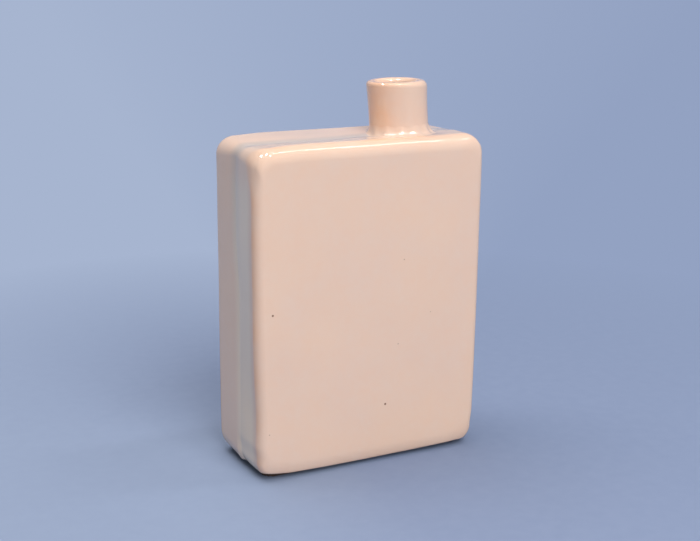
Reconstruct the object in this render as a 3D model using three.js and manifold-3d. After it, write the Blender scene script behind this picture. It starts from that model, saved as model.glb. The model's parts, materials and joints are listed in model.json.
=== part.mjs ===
// Flat bud vase in glazed ceramic: two pressed half shells luted along the middle of the narrow
// sides, and a short thrown neck set over the seam and bedded in a wiped coil of clay.
// Millimetres, +Z up. The front face looks towards -Y, and the origin lies under the middle of the base.
import * as THREE from 'three';
import { mergeVertices } from 'three/addons/utils/BufferGeometryUtils.js';
import loadManifold from 'manifold-3d';

const wasm = await loadManifold();
wasm.setup();

// Body
const bodyWidth = 98.8;
const bodyDepth = 41.5;
const bodyHeight = 130.5;
const bodyWall = 4.5;
const topCornerRadius = 7;
const frontBaseCornerRadius = 8;
const backBaseCornerRadius = 12;
const cavityEdgeRadius = 3;

// Rolled edge round each face: how deep it is, and how far it reaches onto the face from the narrow
// sides, from the top and from the base.
const edgeRollDepth = 4.6;
const edgeRollSide = 3.5;
const edgeRollTop = 8.3;
const edgeRollBase = 8.5;

// Foot: the underside is cut back round a low foot, whose own underside is rubbed flat.
const footWidth = 88;
const footDepth = 31;
const footHeight = 1.3;
const footCornerRadius = 4;
const baseRub = 1;

// Seam: the narrow sides slope down to it, and a band of slip lies between the two halves.
const seamDip = 1.2;
const slipThickness = 1.6;
const slipBead = 0.6;

// Neck: it stands right of the middle and leans to the left by a few degrees, with its rim level.
const neckOffset = 21.5;
const neckHeight = 20;
const neckRimDiameter = 24.2;
const neckFootDiameter = 23.6;
const neckBore = 15.5;
const neckLean = 4.4;

// Coil of clay round the foot of the neck: it spreads further along the seam than across it.
const coilHeight = 3.6;
const coilSpreadAlong = 4.4;
const coilSpreadAcross = 3;
const coilEdge = 0.4;

// Room for slip between the neck and what it is set in.
const lutingGap = 0.3;

// Fineness of the curves
const cornerSteps = 8;
const rollSteps = 6;
const roundSteps = 48;
const leastCornerRadius = 0.4;
const weldDistance = 1e-4;

const glazeColour = 0xe0c2ae;
const glazeRoughness = 0.16;
const slipColour = 0xcfb8ab;
const slipRoughness = 0.22;

const quarterTurn = Math.PI / 2;
const seamFace = slipThickness / 2;
const faceDepth = bodyDepth / 2;
const crestDepth = faceDepth - edgeRollDepth;
const slipBaseCornerRadius = (frontBaseCornerRadius + backBaseCornerRadius) / 2;
const neckFootRadius = neckFootDiameter / 2;
const neckRimRadius = neckRimDiameter / 2;
const neckBoreRadius = neckBore / 2;
const neckHoleRadius = neckFootRadius + lutingGap;
const neckLeanAngle = THREE.MathUtils.degToRad(neckLean);

// Insets from the body's outline at its sides, top and base. The cavity's floor is a wall's thickness
// above the flat that the vase stands on.
function evenInset(size) {
  return { side: size, top: size, base: size };
}

function cavityInset(size) {
  return { side: size, top: size, base: size + baseRub };
}

function rollInset(share) {
  return { side: edgeRollSide * share, top: edgeRollTop * share, base: edgeRollBase * share };
}

// Outline of the body seen from the front, drawn in by an inset, as a ring of points at depth y.
// Its corners are elliptic where the inset isn't the same all round.
function bodyRing(inset, y, baseCornerRadius) {
  const cornerOf = (radius, endInset) => ({
    wide: Math.max(radius - inset.side, leastCornerRadius),
    tall: Math.max(radius - endInset, leastCornerRadius),
  });
  const upper = cornerOf(topCornerRadius, inset.top);
  const lower = cornerOf(baseCornerRadius, inset.base);
  const right = bodyWidth / 2 - inset.side;
  const top = bodyHeight - inset.top;
  const low = inset.base - baseRub;
  const corners = [
    { ...upper, x: right - upper.wide, z: top - upper.tall },
    { ...upper, x: upper.wide - right, z: top - upper.tall },
    { ...lower, x: lower.wide - right, z: low + lower.tall },
    { ...lower, x: right - lower.wide, z: low + lower.tall },
  ];
  const ring = [];
  corners.forEach((corner, quarter) => {
    for (let step = 0; step <= cornerSteps; step += 1) {
      const angle = (quarter + step / cornerSteps) * quarterTurn;
      const x = corner.x + corner.wide * Math.cos(angle);
      const z = corner.z + corner.tall * Math.sin(angle);
      ring.push(new THREE.Vector3(x, y, z));
    }
  });
  return ring;
}

// Solid skinned over a run of rings. It closes on itself, or has a flat cap at each end.
function skin(rings, capped) {
  const count = rings[0].length;
  const points = rings.flat();
  const index = [];
  const bands = capped ? rings.length - 1 : rings.length;
  for (let band = 0; band < bands; band += 1) {
    const here = band * count;
    const next = ((band + 1) % rings.length) * count;
    for (let i = 0; i < count; i += 1) {
      const j = (i + 1) % count;
      index.push(here + i, here + j, next + i);
      index.push(here + j, next + j, next + i);
    }
  }
  if (capped) {
    const last = points.length - count;
    const firstCentre = points.length;
    const lastCentre = firstCentre + 1;
    points.push(ringCentre(rings[0]));
    points.push(ringCentre(rings[rings.length - 1]));
    for (let i = 0; i < count; i += 1) {
      const j = (i + 1) % count;
      index.push(firstCentre, j, i);
      index.push(lastCentre, last + i, last + j);
    }
  }
  const geometry = new THREE.BufferGeometry().setFromPoints(points);
  geometry.setIndex(index);
  return geometry;
}

function ringCentre(ring) {
  const sum = ring.reduce((total, point) => total.add(point), new THREE.Vector3());
  return sum.divideScalar(ring.length);
}

function toSolid(geometry) {
  const bare = geometry.clone();
  bare.deleteAttribute('normal');
  bare.deleteAttribute('uv');
  const merged = mergeVertices(bare, weldDistance);
  const vertProperties = new Float32Array(merged.attributes.position.array);
  const triVerts = new Uint32Array(merged.index.array);
  return new wasm.Manifold(new wasm.Mesh({ numProp: 3, vertProperties, triVerts }));
}

function cut(geometry, cutter) {
  const mesh = toSolid(geometry).subtract(toSolid(cutter)).getMesh();
  const result = new THREE.BufferGeometry();
  result.setAttribute('position', new THREE.BufferAttribute(mesh.vertProperties, 3));
  result.setIndex(new THREE.BufferAttribute(mesh.triVerts, 1));
  return result;
}

// How far the narrow sides have sloped in at a depth from the middle of the seam.
function dipAt(depth) {
  const share = (crestDepth - Math.abs(depth)) / (crestDepth - seamFace);
  return seamDip * THREE.MathUtils.clamp(share, 0, 1);
}

// Half shell with its face towards -Y: inside of the face, cavity wall, seam face, sloping side,
// rolled edge and outer face, in that order.
function halfShell(baseCornerRadius) {
  const rings = [];
  const addRing = (inset, y) => rings.push(bodyRing(inset, y, baseCornerRadius));
  for (let step = 0; step <= rollSteps; step += 1) {
    const angle = (step / rollSteps) * quarterTurn;
    const inset = cavityInset(bodyWall + cavityEdgeRadius * (1 - Math.sin(angle)));
    addRing(inset, bodyWall - faceDepth + cavityEdgeRadius * (1 - Math.cos(angle)));
  }
  addRing(cavityInset(bodyWall), -seamFace);
  addRing(evenInset(seamDip), -seamFace);
  for (let step = 0; step <= rollSteps; step += 1) {
    const angle = (step / rollSteps) * quarterTurn;
    addRing(rollInset(1 - Math.cos(angle)), edgeRollDepth * (1 - Math.sin(angle)) - faceDepth);
  }
  return skin(rings, true);
}

// Band of slip between the halves, with a bead squeezed out inside.
function slipBand() {
  const outer = evenInset(seamDip);
  const inner = cavityInset(bodyWall + slipBead);
  const rings = [
    bodyRing(outer, seamFace, slipBaseCornerRadius),
    bodyRing(outer, -seamFace, slipBaseCornerRadius),
    bodyRing(inner, -seamFace, slipBaseCornerRadius),
    bodyRing(inner, seamFace, slipBaseCornerRadius),
  ];
  return skin(rings, false);
}

// The neck's own frame: its foot on the body's top. It slides aside as it rises, so its rim stays level.
const neckSlide = new THREE.Matrix4().makeShear(0, 0, 0, 0, -Math.tan(neckLeanAngle), 0);
const neckSeat = new THREE.Matrix4().makeTranslation(neckOffset, 0, bodyHeight).multiply(neckSlide);

// Hole across the seam, right through the top wall.
function neckHole() {
  const length = 4 * bodyWall;
  const hole = new THREE.CylinderGeometry(neckHoleRadius, neckHoleRadius, length, roundSteps);
  return hole.rotateX(quarterTurn).applyMatrix4(neckSeat);
}

// Tube from the ceiling of the cavity up to a fully rounded lip.
function neckTube() {
  const lipRadius = (neckRimRadius - neckBoreRadius) / 2;
  const lipCentre = neckRimRadius - lipRadius;
  const profile = [
    new THREE.Vector2(neckBoreRadius, -bodyWall),
    new THREE.Vector2(neckFootRadius, -bodyWall),
    new THREE.Vector2(neckFootRadius, 0),
  ];
  for (let step = 0; step <= 2 * rollSteps; step += 1) {
    const angle = (step / rollSteps) * quarterTurn;
    const radius = lipCentre + lipRadius * Math.cos(angle);
    profile.push(new THREE.Vector2(radius, neckHeight - lipRadius * (1 - Math.sin(angle))));
  }
  profile.push(profile[0].clone());
  return new THREE.LatheGeometry(profile, roundSteps).rotateX(quarterTurn).applyMatrix4(neckSeat);
}

// Hollow fillet on the body's top: it lies on the slopes beside the seam, and its rings follow the
// lean of the neck. Both shares run from the neck and the top to the coil's outer and upper edges.
function coilRing(spreadShare, heightShare) {
  const ring = [];
  for (let i = 0; i < roundSteps; i += 1) {
    const angle = (i / roundSteps) * 4 * quarterTurn;
    const along = Math.cos(angle);
    const across = Math.sin(angle);
    const spread = coilSpreadAlong * along ** 2 + coilSpreadAcross * across ** 2;
    const radius = neckHoleRadius + spread * spreadShare;
    const y = radius * across;
    const height = THREE.MathUtils.lerp(lutingGap - dipAt(y), coilHeight, heightShare);
    const x = neckOffset - height * Math.tan(neckLeanAngle) + radius * along;
    ring.push(new THREE.Vector3(x, y, bodyHeight + height));
  }
  return ring;
}

function neckCoil() {
  const edgeSpread = coilEdge / coilSpreadAcross;
  const edgeHeight = coilEdge / coilHeight;
  const rings = [coilRing(1, 0)];
  for (let step = 0; step <= rollSteps; step += 1) {
    const angle = (step / rollSteps) * quarterTurn;
    const spreadShare = 1 - (1 - edgeSpread) * Math.sin(angle);
    const heightShare = 1 - (1 - edgeHeight) * Math.cos(angle);
    rings.push(coilRing(spreadShare, heightShare));
  }
  rings.push(coilRing(0, 1));
  rings.push(coilRing(0, 0));
  return skin(rings, false);
}

// What is rubbed away under the foot.
function rubbedLayer() {
  const layer = new THREE.BoxGeometry(2 * bodyWidth, 2 * bodyDepth, 2 * baseRub);
  return layer.translate(0, 0, -baseRub);
}

function footOutline() {
  const x = footWidth / 2 - footCornerRadius;
  const y = footDepth / 2 - footCornerRadius;
  const outline = new THREE.Shape();
  outline.absarc(x, y, footCornerRadius, 0, quarterTurn);
  outline.absarc(-x, y, footCornerRadius, quarterTurn, 2 * quarterTurn);
  outline.absarc(-x, -y, footCornerRadius, 2 * quarterTurn, 3 * quarterTurn);
  outline.absarc(x, -y, footCornerRadius, 3 * quarterTurn, 4 * quarterTurn);
  outline.closePath();
  return outline;
}

// What is cut away round the foot: a layer under the body, with the foot left standing in it.
function footRecess() {
  const layer = new THREE.BoxGeometry(2 * bodyWidth, 2 * bodyDepth, 2 * footHeight);
  const extrusion = { depth: 4 * footHeight, bevelEnabled: false, curveSegments: cornerSteps };
  const foot = new THREE.ExtrudeGeometry(footOutline(), extrusion);
  return cut(layer, foot.translate(0, 0, -2 * footHeight));
}

function piece(name, geometry, color, roughness) {
  const material = new THREE.MeshStandardMaterial({ color, roughness, metalness: 0 });
  const mesh = new THREE.Mesh(geometry, material);
  mesh.name = name;
  return mesh;
}

const bodyCutters = [rubbedLayer(), footRecess(), neckHole()];
const frontShell = bodyCutters.reduce(cut, halfShell(frontBaseCornerRadius));
const backShell = bodyCutters.reduce(cut, halfShell(backBaseCornerRadius).rotateZ(Math.PI));
const slip = bodyCutters.reduce(cut, slipBand());

const vase = new THREE.Group();
vase.add(piece('front_half', frontShell, glazeColour, glazeRoughness));
vase.add(piece('back_half', backShell, glazeColour, glazeRoughness));
vase.add(piece('seam_slip', slip, slipColour, slipRoughness));
vase.add(piece('neck_coil', neckCoil(), glazeColour, glazeRoughness));
vase.add(piece('neck', neckTube(), glazeColour, glazeRoughness));

export default vase;
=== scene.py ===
# %% [markdown]
# # A bud vase from two pressed halves
# The vase is made as a potter makes it: two half shells are pressed in moulds, luted together with
# slip round the middle of the narrow sides, and a short neck is set over the seam and bedded in a
# coil of clay. The imported model already has these pieces at their real size, so this lesson loads
# it as a fixed frame and makes a finer, glazed skin for each piece in the same place.

# %% Load the frame
import json
import math

import bmesh
import bpy
import numpy as np
from mathutils import Matrix, Vector

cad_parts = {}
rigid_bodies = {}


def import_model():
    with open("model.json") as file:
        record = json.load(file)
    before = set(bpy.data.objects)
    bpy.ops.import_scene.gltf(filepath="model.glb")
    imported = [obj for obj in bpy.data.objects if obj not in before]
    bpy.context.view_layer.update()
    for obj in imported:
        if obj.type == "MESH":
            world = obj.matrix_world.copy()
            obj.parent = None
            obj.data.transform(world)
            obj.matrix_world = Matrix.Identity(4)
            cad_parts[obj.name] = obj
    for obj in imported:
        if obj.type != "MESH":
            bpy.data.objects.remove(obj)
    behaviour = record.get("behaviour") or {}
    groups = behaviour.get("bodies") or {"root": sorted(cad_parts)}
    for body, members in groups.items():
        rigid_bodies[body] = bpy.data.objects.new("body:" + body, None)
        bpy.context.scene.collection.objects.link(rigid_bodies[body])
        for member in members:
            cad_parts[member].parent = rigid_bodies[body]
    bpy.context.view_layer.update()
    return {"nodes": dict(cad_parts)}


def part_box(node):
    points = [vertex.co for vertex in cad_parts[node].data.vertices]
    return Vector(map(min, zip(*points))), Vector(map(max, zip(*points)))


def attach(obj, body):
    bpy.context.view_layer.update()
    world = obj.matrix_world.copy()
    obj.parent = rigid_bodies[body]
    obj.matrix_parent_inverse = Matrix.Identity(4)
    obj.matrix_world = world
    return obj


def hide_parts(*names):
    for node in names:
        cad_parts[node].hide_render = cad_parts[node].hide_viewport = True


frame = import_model()
MM = 0.001
print("pieces:", sorted(frame["nodes"]))

# %% [markdown]
# ## Sizes
# What the frame can tell is read from it, so the skin fits when a size changes: the width, the
# height, the depth, the seam's place and how far the narrow sides slope in towards it. Radii and
# walls don't show in a box, so they are written here, in millimetres.

# %% Sizes of the body
_, front_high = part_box("front_half")
_, back_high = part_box("back_half")
_, slip_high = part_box("seam_slip")

HALF_WIDTH = front_high.x
TOP = front_high.z
FACE_DEPTH = back_high.y
SEAM_FACE = slip_high.y
SEAM_DIP = front_high.x - slip_high.x
ROLL_DEPTH = 4.4 * MM
ROLL_SIDE = 3.5 * MM
ROLL_TOP = 6.2 * MM
ROLL_BASE = 8.5 * MM
TOP_CORNER = 7.0 * MM
BASE_CORNER = 8.5 * MM
BASE_GROW = 2.0 * MM
LEAST_CORNER = 6.0 * MM
VALLEY_CORNER = 3.0 * MM
VALLEY_TIGHTEN = 2.5
BODY_WALL = 4.5 * MM
CAVITY_ROLL = 3.0 * MM
SLIP_BEAD = 0.6 * MM
BASE_RUB = 1.0 * MM
CREST = FACE_DEPTH - ROLL_DEPTH
print("seam dip in mm:", round(SEAM_DIP / MM, 2), "crest at mm:", round(CREST / MM, 2))

# %% Sizes of the neck and its coil
neck_low, neck_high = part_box("neck")

NECK_OFFSET = 21.5 * MM
NECK_HEIGHT = 20.1 * MM
NECK_LEAN = math.radians(4.4)
RIM_TILT = math.radians(2.2)
NECK_RIM = (neck_high.y - neck_low.y) / 2
NECK_WAIST = 11.8 * MM
NECK_BORE = 7.4 * MM
LIP_OUTER_ROLL = 2.6 * MM
LIP_INNER_ROLL = 1.9 * MM
COIL_HEIGHT = 4.0 * MM
neck_slide = Matrix.Shear("XY", 4, (math.tan(RIM_TILT) - math.tan(NECK_LEAN), 0))
neck_turn = Matrix.Rotation(-RIM_TILT, 4, "Y")
neck_seat = Matrix.Translation((NECK_OFFSET, 0, TOP)) @ neck_slide @ neck_turn
print("neck radius at the rim in mm:", round(NECK_RIM / MM, 2))

# %% [markdown]
# ## One rule for the body: a profile carried round an outline
# Both halves, the seam and the neck follow the same rule. A short profile says how far a point is
# drawn in from the outline and at which depth it lies, and it is carried round an outline with
# round corners. Lofting it by hand would need the same loops three times, so one Geometry Nodes
# tree does it: a grid has a column for each point of the outline and a row for each point of the
# profile, and every point moves inwards, square to the outline. A corner's radius shrinks as it is
# drawn in, down to a least radius, and faster in the valley along the top. Where the profile's third
# number grows to 1, the ring shrinks to the middle and closes the face.

# %% Helpers that add nodes
def feed(tree, node, inputs):
    """Links or fills a node's inputs."""
    for name, value in inputs.items():
        if isinstance(value, bpy.types.NodeSocket):
            tree.links.new(value, node.inputs[name])
        else:
            node.inputs[name].default_value = value


def add_node(tree, kind, inputs=None, **options):
    """Adds one node, sets its options and feeds it."""
    node = tree.nodes.new(kind)
    for name, value in options.items():
        setattr(node, name, value)
    feed(tree, node, inputs or {})
    return node


def calc(tree, operation, first, second=0.0):
    """One step of arithmetic in a tree."""
    return add_node(tree, "ShaderNodeMath", {0: first, 1: second}, operation=operation).outputs[0]


# %% The tree's named inputs
body_sizes = {
    "Half width": HALF_WIDTH,
    "Top": TOP,
    "Foot": -BASE_RUB,
    "Top corner": TOP_CORNER,
    "Base corner": BASE_CORNER,
    "Base grow": BASE_GROW,
    "Least corner": LEAST_CORNER,
    "Valley corner": VALLEY_CORNER,
    "Valley tighten": VALLEY_TIGHTEN,
    "Crest": CREST,
    "Side stretch": ROLL_SIDE / ROLL_DEPTH,
    "Top stretch": ROLL_TOP / ROLL_DEPTH,
    "Base stretch": ROLL_BASE / ROLL_DEPTH,
}
CARRY_INPUTS = {
    "Outline": "NodeSocketObject",
    "Profile": "NodeSocketObject",
    **dict.fromkeys(body_sizes, "NodeSocketFloat"),
    "Finish": "NodeSocketMaterial",
}
WELD = 0.001 * MM

carry_tree = bpy.data.node_groups.new("carry_profile_round", "GeometryNodeTree")
carry_tree.is_modifier = True
for name, kind in CARRY_INPUTS.items():
    carry_tree.interface.new_socket(name, in_out="INPUT", socket_type=kind)
carry_tree.interface.new_socket("Vase piece", in_out="OUTPUT", socket_type="NodeSocketGeometry")
given = carry_tree.nodes.new("NodeGroupInput").outputs


def number(operation, first, second=0.0):
    """One step of arithmetic on numbers."""
    return calc(carry_tree, operation, first, second)


def whole(operation, first, second):
    """One step of arithmetic on whole numbers."""
    node = add_node(carry_tree, "FunctionNodeIntegerMath", {0: first, 1: second}, operation=operation)
    return node.outputs[0]


def vector(operation, inputs):
    """One step of arithmetic on vectors."""
    return add_node(carry_tree, "ShaderNodeVectorMath", inputs, operation=operation).outputs[0]


def split(place):
    """The three coordinates of a vector."""
    return add_node(carry_tree, "ShaderNodeSeparateXYZ", {0: place}).outputs


def joined(x=0.0, y=0.0, z=0.0):
    """A vector from its coordinates."""
    return add_node(carry_tree, "ShaderNodeCombineXYZ", {"X": x, "Y": y, "Z": z}).outputs[0]


# %% Rows, columns and the points they stand for
def point_at(row_of_points, index):
    """Place of one point of the outline or the profile."""
    position = add_node(carry_tree, "GeometryNodeInputPosition").outputs[0]
    inputs = {"Geometry": row_of_points, "Value": position, "Index": index}
    sample = add_node(carry_tree, "GeometryNodeSampleIndex", inputs, data_type="FLOAT_VECTOR")
    return sample.outputs[0]


def points_of(name):
    """The points of a helper object, and how many there are."""
    info = add_node(carry_tree, "GeometryNodeObjectInfo", {"Object": given[name]})
    shape = info.outputs["Geometry"]
    size = add_node(carry_tree, "GeometryNodeAttributeDomainSize", {"Geometry": shape})
    return shape, size.outputs["Point Count"]


outline_points, stations = points_of("Outline")
profile_points, rings = points_of("Profile")
grid_size = {"Vertices X": whole("ADD", stations, 1), "Vertices Y": rings}
grid = add_node(carry_tree, "GeometryNodeMeshGrid", grid_size)
index = add_node(carry_tree, "GeometryNodeInputIndex").outputs[0]
column = whole("FLOORED_MODULO", whole("DIVIDE_FLOOR", index, rings), stations)
ring = whole("FLOORED_MODULO", index, rings)
on_outline = point_at(outline_points, column)
on_profile = split(point_at(profile_points, ring))

# %% Moving each point square to the outline
place = split(on_outline)
middle = number("MULTIPLY", number("ADD", given["Top"], given["Foot"]), 0.5)
is_upper = number("GREATER_THAN", place["Z"], middle)


def either(choice, when_not, when_so):
    """One of two numbers, by a choice of 0 or 1."""
    inputs = {"Factor": choice, "A": when_not, "B": when_so}
    return add_node(carry_tree, "ShaderNodeMix", inputs).outputs[0]


def held(value, low, high):
    """A number kept between two others."""
    return number("MAXIMUM", number("MINIMUM", value, high), low)


corner = either(is_upper, given["Base corner"], given["Top corner"])
reach = number("SUBTRACT", given["Half width"], corner)
core_x = held(place["X"], number("MULTIPLY", reach, -1.0), reach)
core_top = number("SUBTRACT", given["Top"], corner)
core_foot = number("ADD", given["Foot"], corner)
core_z = held(place["Z"], core_foot, core_top)
off_core = vector("SUBTRACT", {0: on_outline, 1: joined(x=core_x, z=core_z)})
normal = split(vector("NORMALIZE", {0: off_core}))
is_rolled = number("GREATER_THAN", number("ABSOLUTE", on_profile["Y"]), given["Crest"])
end_stretch = either(is_upper, given["Base stretch"], given["Top stretch"])
inset_x = number("MULTIPLY", either(is_rolled, 1.0, given["Side stretch"]), on_profile["X"])
inset_z = number("MULTIPLY", either(is_rolled, 1.0, end_stretch), on_profile["X"])

# %% Shrinking the corners
half_height = number("MULTIPLY", number("SUBTRACT", given["Top"], given["Foot"]), 0.5)
back_share = held(number("DIVIDE", on_profile["Y"], given["Crest"]), 0.0, 1.0)
grown = number("ADD", corner, number("MULTIPLY", either(is_upper, given["Base grow"], 0.0), back_share))
in_valley = number("MULTIPLY", is_upper, number("SUBTRACT", 1.0, is_rolled))
tighten = either(in_valley, 1.0, given["Valley tighten"])
least_corner = either(in_valley, given["Least corner"], given["Valley corner"])


def drawn(core_place, outward, room, drawn_by):
    """One coordinate of a point, drawn in: a corner shrinks to its least radius, then it moves."""
    shrunk_by = number("MULTIPLY", tighten, drawn_by)
    radius = number("MAXIMUM", number("SUBTRACT", grown, shrunk_by), least_corner)
    straight = number("MAXIMUM", number("SUBTRACT", room, corner), WELD)
    left_over = number("SUBTRACT", number("SUBTRACT", room, drawn_by), radius)
    run = number("MULTIPLY", core_place, number("DIVIDE", left_over, straight))
    return number("ADD", run, number("MULTIPLY", radius, outward))


core_up = number("SUBTRACT", core_z, middle)
drawn_x = drawn(core_x, normal["X"], given["Half width"], inset_x)
drawn_z = number("ADD", middle, drawn(core_up, normal["Z"], half_height, inset_z))
drawn_in = joined(x=drawn_x, z=drawn_z)
to_centre = vector("SUBTRACT", {0: joined(z=middle), 1: drawn_in})
shrink = vector("SCALE", {0: to_centre, "Scale": on_profile["Z"]})
flat = split(vector("ADD", {0: drawn_in, 1: shrink}))
carried = joined(flat["X"], on_profile["Y"], flat["Z"])

# %% Closing the tree
LAST_STEPS = (
    ("GeometryNodeSetPosition", {"Position": carried}),
    ("GeometryNodeMergeByDistance", {"Distance": WELD}),
    ("GeometryNodeSetShadeSmooth", {}),
    ("GeometryNodeRealizeInstances", {}),
    ("GeometryNodeSetMaterial", {"Material": given["Finish"]}),
)
shape = grid.outputs["Mesh"]
for kind, inputs in LAST_STEPS:
    shape = add_node(carry_tree, kind, {"Geometry": shape, **inputs}).outputs[0]
add_node(carry_tree, "NodeGroupOutput", {0: shape})
print("tree nodes:", len(carry_tree.nodes))

# %% [markdown]
# ## From the tree to a plain mesh
# A piece is handed on as a plain mesh. The outline and the profile are put into two helper objects
# that hold only points, the modifier's inputs are set by their identifiers, the result is read
# back with new_from_object, and the modifier and helpers go. Faces are then turned outwards, and
# edges that fold sharply stay crisp, so that the joint faces inside don't bend the shading of the
# outside.

# %% Helpers that make a piece
CRISP_ANGLE = math.radians(34)


def add_object(name, data):
    """Puts a mesh, a lamp or a camera into the scene."""
    holder = bpy.data.objects.new(name, data)
    bpy.context.scene.collection.objects.link(holder)
    return holder


def helper_points(name, points):
    """An object of bare points that the tree reads."""
    mesh = bpy.data.meshes.new(name)
    mesh.from_pydata(points, [], [])
    return add_object(name, mesh)


def plain_mesh(piece):
    """Turns a piece and its modifiers into a plain mesh with its faces outwards."""
    bpy.context.view_layer.update()
    graph = bpy.context.evaluated_depsgraph_get()
    mesh = bpy.data.meshes.new_from_object(piece.evaluated_get(graph))
    piece.modifiers.clear()
    piece.data = mesh
    work = bmesh.new()
    work.from_mesh(mesh)
    bmesh.ops.recalc_face_normals(work, faces=work.faces)
    work.to_mesh(mesh)
    work.free()
    mesh.shade_smooth()
    mesh.set_sharp_from_angle(angle=CRISP_ANGLE)


def carry_round(name, outline, profile, sizes, finish):
    """A piece made by carrying the profile round the outline."""
    helpers = {
        "Outline": helper_points(name + "_outline", outline),
        "Profile": helper_points(name + "_profile", profile),
    }
    piece = add_object(name, bpy.data.meshes.new(name))
    modifier = piece.modifiers.new("carry", "NODES")
    modifier.node_group = carry_tree
    values = {**helpers, **sizes, "Finish": finish}
    for item in carry_tree.interface.items_tree:
        if item.in_out == "INPUT":
            modifier[item.identifier] = values[item.name]
    plain_mesh(piece)
    for helper in helpers.values():
        bpy.data.objects.remove(helper)
    print(name, "faces:", len(piece.data.polygons))
    return piece


# %% [markdown]
# ## The outline
# Seen from the front the body is a plain upright block with round corners. The corners at the base
# are a little wider than those at the top, and they grow towards the back, because the hand that
# joined the halves rounded the back half off more.

# %% Outline of the body
RUN_STEP = 1.2 * MM
CORNER_STEPS = 24


def quarter(steps):
    """Angles over a quarter turn, with both ends."""
    return [step / steps * math.pi / 2 for step in range(steps + 1)]


def body_outline():
    """Points round the body: four corners, and the straight runs between them."""
    corners = [
        (HALF_WIDTH - TOP_CORNER, TOP - TOP_CORNER, TOP_CORNER, 0),
        (TOP_CORNER - HALF_WIDTH, TOP - TOP_CORNER, TOP_CORNER, 1),
        (BASE_CORNER - HALF_WIDTH, BASE_CORNER - BASE_RUB, BASE_CORNER, 2),
        (HALF_WIDTH - BASE_CORNER, BASE_CORNER - BASE_RUB, BASE_CORNER, 3),
    ]
    points = []
    for x, z, radius, turn in corners:
        for step in range(CORNER_STEPS + 1):
            angle = (turn + step / CORNER_STEPS) * math.pi / 2
            place = Vector((x + radius * math.cos(angle), 0, z + radius * math.sin(angle)))
            if step == 0 and points:
                points += run_between(points[-1], place)
            points.append(place)
    return points + run_between(points[-1], points[0])


def run_between(start, end):
    """Points along a straight run, without its ends."""
    count = round((end - start).length / RUN_STEP)
    return [start.lerp(end, step / count) for step in range(1, count)]


print("points round the body:", len(body_outline()))

# %% [markdown]
# ## The two half shells
# A half shell is a tray: a flat face, an edge rolled over by a quarter round, and a narrow side that
# slopes in to the seam by little more than a millimetre. Inside it has the wall and floor of the
# water space. The same profile serves both halves, with its depth turned round for the back.

# %% Profile of a half shell
FACE_RINGS = 18
ROLL_STEPS = 22
SLOPE_STEPS = 16
FLOOR_RINGS = 5
SLOPE_POWER = 1.2


def slope_in(depth):
    """How far the narrow sides have sloped in at a depth from the seam."""
    share = np.clip((CREST - np.abs(depth)) / (CREST - SEAM_FACE), 0, 1)
    return SEAM_DIP * share**SLOPE_POWER


def half_profile(side):
    """Inset, depth and shrink from the middle of the face to the middle of the inner floor."""
    rows = [(ROLL_DEPTH, FACE_DEPTH, 1 - ring / FACE_RINGS) for ring in range(FACE_RINGS)]
    for angle in quarter(ROLL_STEPS):
        rows.append((ROLL_DEPTH * (1 - math.sin(angle)), CREST + ROLL_DEPTH * math.cos(angle), 0))
    for step in range(1, SLOPE_STEPS + 1):
        depth = CREST + (SEAM_FACE - CREST) * step / SLOPE_STEPS
        rows.append((slope_in(depth), depth, 0))
    floor_depth = FACE_DEPTH - BODY_WALL
    rows.append((BODY_WALL, SEAM_FACE, 0))
    for angle in quarter(ROLL_STEPS // 2):
        inset = BODY_WALL + CAVITY_ROLL * (1 - math.cos(angle))
        rows.append((inset, floor_depth - CAVITY_ROLL * (1 - math.sin(angle)), 0))
    for step in range(1, FLOOR_RINGS + 1):
        rows.append((BODY_WALL + CAVITY_ROLL, floor_depth, step / FLOOR_RINGS))
    return [(inset, side * depth, shrink) for inset, depth, shrink in rows]


# %% Making the half shells
glaze = bpy.data.materials.new("peach_glaze")
pooled_glaze = bpy.data.materials.new("pooled_glaze")
bare_clay_with_painted_shade = bpy.data.materials.new("bare_clay_with_painted_shade")

front_shell = carry_round("front_shell", body_outline(), half_profile(-1), body_sizes, glaze)
back_shell = carry_round("back_shell", body_outline(), half_profile(1), body_sizes, glaze)

# %% [markdown]
# ## The slip in the seam
# The band of slip is a thin ring between the halves. Outside it is wiped to a soft hollow that
# carries on both slopes, and inside it stands out as a small bead.

# %% Making the band of slip
SLIP_STEPS = 6
seam_slope = SLOPE_POWER * SEAM_DIP / (CREST - SEAM_FACE)


def slip_profile():
    """Section of the band: hollow outside, beaded inside, closed on itself."""
    rows = []
    for step in range(SLIP_STEPS + 1):
        share = 2 * step / SLIP_STEPS - 1
        hollow = seam_slope * SEAM_FACE / 2 * (1 - share**2)
        rows.append((SEAM_DIP + hollow, share * SEAM_FACE, 0))
    for step in range(SLIP_STEPS + 1):
        share = 1 - 2 * step / SLIP_STEPS
        rows.append((BODY_WALL + SLIP_BEAD * (1 - share**2), share * SEAM_FACE, 0))
    return rows + rows[:1]


seam_band = carry_round("seam_band", body_outline(), slip_profile(), body_sizes, pooled_glaze)
body_pieces = (front_shell, back_shell, seam_band)

# %% [markdown]
# ## The hole for the neck
# The neck is let in through the top wall, across the seam, so the three pieces of the body get a
# round hole there. A Boolean with a plain cylinder does that, and its edge stays hidden under the
# coil of clay.

# %% Cutting the hole
HOLE_ROOM = 0.25 * MM
HOLE_RADIUS = NECK_WAIST + HOLE_ROOM
HOLE_SIDES = 72


def plain_object(name, make, **sizes):
    """Adds an object with a plain mesh that a bmesh operator makes."""
    mesh = bpy.data.meshes.new(name)
    work = bmesh.new()
    make(work, cap_ends=True, **sizes)
    work.to_mesh(mesh)
    work.free()
    return add_object(name, mesh)


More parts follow.
